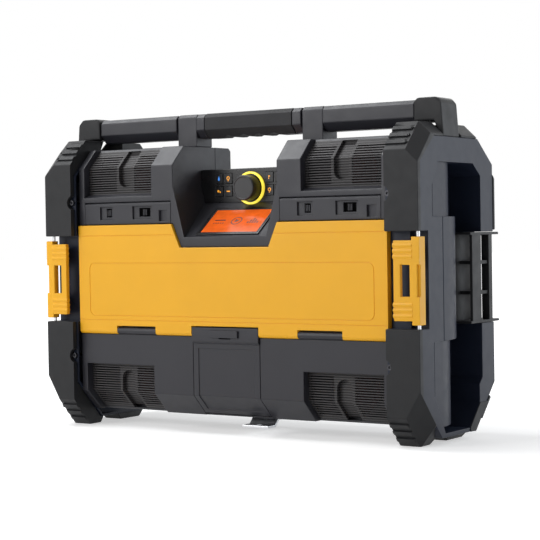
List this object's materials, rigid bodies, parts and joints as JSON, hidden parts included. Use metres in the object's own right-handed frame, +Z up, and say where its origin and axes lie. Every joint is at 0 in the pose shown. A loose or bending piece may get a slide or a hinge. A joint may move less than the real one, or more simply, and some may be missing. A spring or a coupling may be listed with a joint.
{
  "type": "jobsite radio",
  "caption": "Rugged jobsite radio with full-width handle, bumper corners, drop-down storage door, battery door, tuning knob and buttons",
  "frame": {"origin": "on the floor, under the middle of the whole part's box", "axes": "+X to the right as seen from the front, +Y to the back, +Z up"},
  "size_m": [0.54, 0.198, 0.392],
  "materials": {
    "charcoal_plastic": "fine moulded texture, satin",
    "slate_plastic": "smooth moulded, satin",
    "bumper_plastic": "fine grain, matte",
    "grip_rubber": "soft, matte",
    "yellow_plastic": "satin moulded",
    "grille_plastic": "fine ribbed",
    "inner_plastic": "matte",
    "panel_plastic": "semi-gloss",
    "knob_plastic": "satin face, ribbed side",
    "ring_light": "lit light guide",
    "display_amber": "lit display",
    "steel": "plated",
    "black_steel": "blackened",
    "speaker_cone": "pressed paper",
    "board_green": "solder mask",
    "seal_rubber": "matte"
  },
  "bodies": {
    "case": {"front_housing": "charcoal_plastic", "rear_cover": "charcoal_plastic", "left_end_frame": "slate_plastic", "right_end_frame": "slate_plastic", "left_catch": "bumper_plastic", "right_catch": "bumper_plastic", "front_upper_left_guard": "bumper_plastic", "front_upper_right_guard": "bumper_plastic", "front_lower_left_guard": "bumper_plastic", "front_lower_right_guard": "bumper_plastic", "rear_upper_left_guard": "bumper_plastic", "rear_upper_right_guard": "bumper_plastic", "rear_lower_left_guard": "bumper_plastic", "rear_lower_right_guard": "bumper_plastic", "guard_screws": "black_steel", "case_screws": "steel", "upper_left_grille": "grille_plastic", "upper_right_grille": "grille_plastic", "lower_left_grille": "grille_plastic", "lower_right_grille": "grille_plastic", "speaker_baskets": "steel", "speaker_cones": "speaker_cone", "handle_bar": "charcoal_plastic", "handle_grip": "grip_rubber", "left_handle_cap": "bumper_plastic", "right_handle_cap": "bumper_plastic", "handle_posts": "charcoal_plastic", "door_seal": "seal_rubber", "hinge_pins": "steel", "battery_bay": "inner_plastic", "battery_terminals": "steel", "side_latch_pins": "steel", "control_panel": "panel_plastic", "light_ring": "ring_light", "switch_board": "board_green", "display_bezel": "panel_plastic", "display_lens": "display_amber", "display_module": "board_green", "storage_tray": "inner_plastic", "port_panel": "inner_plastic", "main_board": "board_green", "power_supply": "steel", "power_inlet": "inner_plastic", "base_bracket": "steel"},
    "storage_door": {"storage_door": "yellow_plastic"},
    "left_door_latch": {"left_door_latch": "charcoal_plastic"},
    "right_door_latch": {"right_door_latch": "charcoal_plastic"},
    "battery_door": {"battery_door": "charcoal_plastic"},
    "battery_catch": {"battery_catch": "charcoal_plastic"},
    "left_side_latch": {"left_side_latch": "yellow_plastic"},
    "right_side_latch": {"right_side_latch": "yellow_plastic"},
    "tuning_knob": {"tuning_knob": "knob_plastic"},
    "outer_top_button": {"outer_top_button": "panel_plastic"},
    "outer_low_button": {"outer_low_button": "panel_plastic"},
    "inner_top_button": {"inner_top_button": "panel_plastic"},
    "inner_low_button": {"inner_low_button": "panel_plastic"},
    "near_top_button": {"near_top_button": "panel_plastic"},
    "near_low_button": {"near_low_button": "panel_plastic"},
    "far_top_button": {"far_top_button": "panel_plastic"},
    "far_low_button": {"far_low_button": "panel_plastic"}
  },
  "joints": [
    {"name": "storage_door_hinge", "type": "hinge", "parent": "case", "child": "storage_door", "pos_m": [0, -0.0835, 0.1225], "axis": [1, 0, 0], "range_deg": [0, 95]},
    {"name": "left_door_latch_hinge", "type": "hinge", "parent": "case", "child": "left_door_latch", "pos_m": [-0.1475, -0.082, 0.279], "axis": [-1, 0, 0], "range_deg": [0, 80]},
    {"name": "right_door_latch_hinge", "type": "hinge", "parent": "case", "child": "right_door_latch", "pos_m": [0.1475, -0.082, 0.279], "axis": [-1, 0, 0], "range_deg": [0, 80]},
    {"name": "battery_door_hinge", "type": "hinge", "parent": "case", "child": "battery_door", "pos_m": [0, -0.059, 0.028], "axis": [1, 0, 0], "range_deg": [0, 70]},
    {"name": "battery_catch_slide", "type": "slide", "parent": "battery_door", "child": "battery_catch", "axis": [0, 0, -1], "range_m": [0, 0.003], "stiffness_N_per_m": 250, "springref_m": -0.001},
    {"name": "left_side_latch_hinge", "type": "hinge", "parent": "case", "child": "left_side_latch", "pos_m": [-0.2645, -0.0895, 0.186], "axis": [0, 0, -1], "range_deg": [0, 110]},
    {"name": "right_side_latch_hinge", "type": "hinge", "parent": "case", "child": "right_side_latch", "pos_m": [0.2645, -0.0895, 0.186], "axis": [0, 0, 1], "range_deg": [0, 110]},
    {"name": "tuning_knob_turn", "type": "hinge", "parent": "case", "child": "tuning_knob", "pos_m": [0, -0.039, 0.2965], "axis": [0, -1, 0], "continuous": true},
    {"name": "outer_top_button_press", "type": "slide", "parent": "case", "child": "outer_top_button", "axis": [0, 1, 0], "range_m": [0, 0.001], "stiffness_N_per_m": 600, "springref_m": -0.0005},
    {"name": "outer_low_button_press", "type": "slide", "parent": "case", "child": "outer_low_button", "axis": [0, 1, 0], "range_m": [0, 0.001], "stiffness_N_per_m": 600, "springref_m": -0.0005},
    {"name": "inner_top_button_press", "type": "slide", "parent": "case", "child": "inner_top_button", "axis": [0, 1, 0], "range_m": [0, 0.001], "stiffness_N_per_m": 600, "springref_m": -0.0005},
    {"name": "inner_low_button_press", "type": "slide", "parent": "case", "child": "inner_low_button", "axis": [0, 1, 0], "range_m": [0, 0.001], "stiffness_N_per_m": 600, "springref_m": -0.0005},
    {"name": "near_top_button_press", "type": "slide", "parent": "case", "child": "near_top_button", "axis": [0, 1, 0], "range_m": [0, 0.001], "stiffness_N_per_m": 600, "springref_m": -0.0005},
    {"name": "near_low_button_press", "type": "slide", "parent": "case", "child": "near_low_button", "axis": [0, 1, 0], "range_m": [0, 0.001], "stiffness_N_per_m": 600, "springref_m": -0.0005},
    {"name": "far_top_button_press", "type": "slide", "parent": "case", "child": "far_top_button", "axis": [0, 1, 0], "range_m": [0, 0.001], "stiffness_N_per_m": 600, "springref_m": -0.0005},
    {"name": "far_low_button_press", "type": "slide", "parent": "case", "child": "far_low_button", "axis": [0, 1, 0], "range_m": [0, 0.001], "stiffness_N_per_m": 600, "springref_m": -0.0005}
  ]
}
